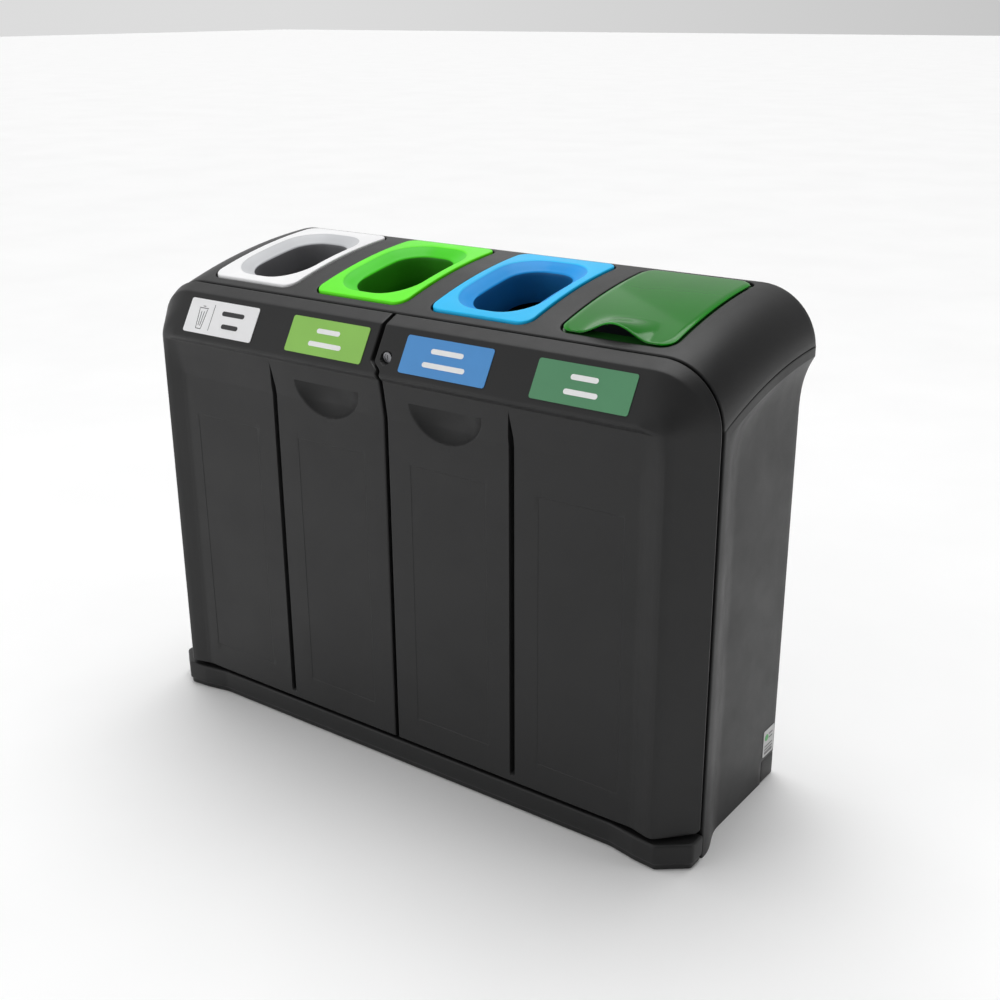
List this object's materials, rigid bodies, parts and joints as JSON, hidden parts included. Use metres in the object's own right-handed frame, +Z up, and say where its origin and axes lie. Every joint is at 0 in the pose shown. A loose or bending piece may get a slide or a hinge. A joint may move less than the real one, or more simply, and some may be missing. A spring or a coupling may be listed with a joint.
{
  "type": "recycling bin station",
  "caption": "Free-standing waste sorting cabinet with a curved hood of coloured drop-in mouths, a hinged food flap, twin front doors and lift-out bins.",
  "frame": {"origin": "on the floor under the middle of the cabinet's bounding box", "axes": "+X to the right seen from the front, along the row of bins; +Y to the back; +Z up"},
  "size_m": [1.312, 0.438, 0.9779],
  "materials": {
    "hood_plastic": "fine-grained charcoal moulding",
    "panel_plastic": "fine-grained charcoal moulding",
    "inner_plastic": "plain dark sheet plastic",
    "frame_steel": "dark powder-coated steel",
    "knuckle_plastic": "glass-filled nylon",
    "bright_steel": "zinc-plated",
    "lock_chrome": "plated zinc die casting",
    "white_plastic": "satin white",
    "lime_plastic": "satin lime green",
    "blue_plastic": "satin blue",
    "food_frame_plastic": "dark green",
    "flap_green": "glossy dark green",
    "liner_plastic": "dark grey polyethylene",
    "rubber": "black",
    "label_white": "satin label stock",
    "label_lime": "satin label stock",
    "label_blue": "satin label stock",
    "label_green": "satin label stock",
    "badge_white": "blank label stock"
  },
  "bodies": {
    "cabinet": {"back_panel": "inner_plastic", "back_screws": "bright_steel", "base_plinth": "panel_plastic", "blue_aperture": "blue_plastic", "centre_divider": "inner_plastic", "centre_post": "frame_steel", "door_buffers": "rubber", "flap_hinge_rod": "bright_steel", "flap_stops": "rubber", "food_frame": "food_frame_plastic", "food_liner": "liner_plastic", "front_rail": "frame_steel", "general_liner": "liner_plastic", "hinge_screws": "bright_steel", "left_divider": "inner_plastic", "left_hinge_brackets": "frame_steel", "left_hinge_pins": "bright_steel", "left_hinge_post": "frame_steel", "left_side_panel": "panel_plastic", "levelling_feet": "rubber", "lime_aperture": "lime_plastic", "lock_keeper": "frame_steel", "magnet_catch": "rubber", "maker_plate": "badge_white", "mixed_liner": "liner_plastic", "paper_liner": "liner_plastic", "right_divider": "inner_plastic", "right_hinge_brackets": "frame_steel", "right_hinge_pins": "bright_steel", "right_hinge_post": "frame_steel", "right_side_panel": "panel_plastic", "top_hood": "hood_plastic", "white_aperture": "white_plastic"},
    "right_door": {"right_door_shell": "panel_plastic", "right_door_inner_panel": "inner_plastic", "right_hinge_knuckles": "knuckle_plastic", "right_door_screws": "bright_steel", "blue_label": "label_blue", "green_label": "label_green", "lock_barrel": "lock_chrome", "lock_nut": "lock_chrome"},
    "left_door": {"left_door_shell": "panel_plastic", "left_door_inner_panel": "inner_plastic", "left_hinge_knuckles": "knuckle_plastic", "left_door_screws": "bright_steel", "white_label": "label_white", "lime_label": "label_lime", "catch_striker": "bright_steel"},
    "lock": {"lock_plug": "lock_chrome", "lock_cam": "lock_chrome", "cam_screw": "lock_chrome"},
    "flap": {"food_flap": "flap_green"}
  },
  "joints": [
    {"name": "right_door_hinge", "type": "hinge", "parent": "cabinet", "child": "right_door", "pos_m": [0.632, -0.147, 0.45], "axis": [0, 0, 1], "range_deg": [0, 100]},
    {"name": "left_door_hinge", "type": "hinge", "parent": "cabinet", "child": "left_door", "pos_m": [-0.632, -0.147, 0.45], "axis": [0, 0, -1], "range_deg": [0, 100]},
    {"name": "lock_turn", "type": "hinge", "parent": "right_door", "child": "lock", "pos_m": [0.009, -0.16, 0.844], "axis": [0, 1, 0], "range_deg": [0, 90]},
    {"name": "flap_hinge", "type": "hinge", "parent": "cabinet", "child": "flap", "pos_m": [0.4275, 0.184, 0.9672], "axis": [-1, 0, 0], "range_deg": [0, 80]}
  ]
}
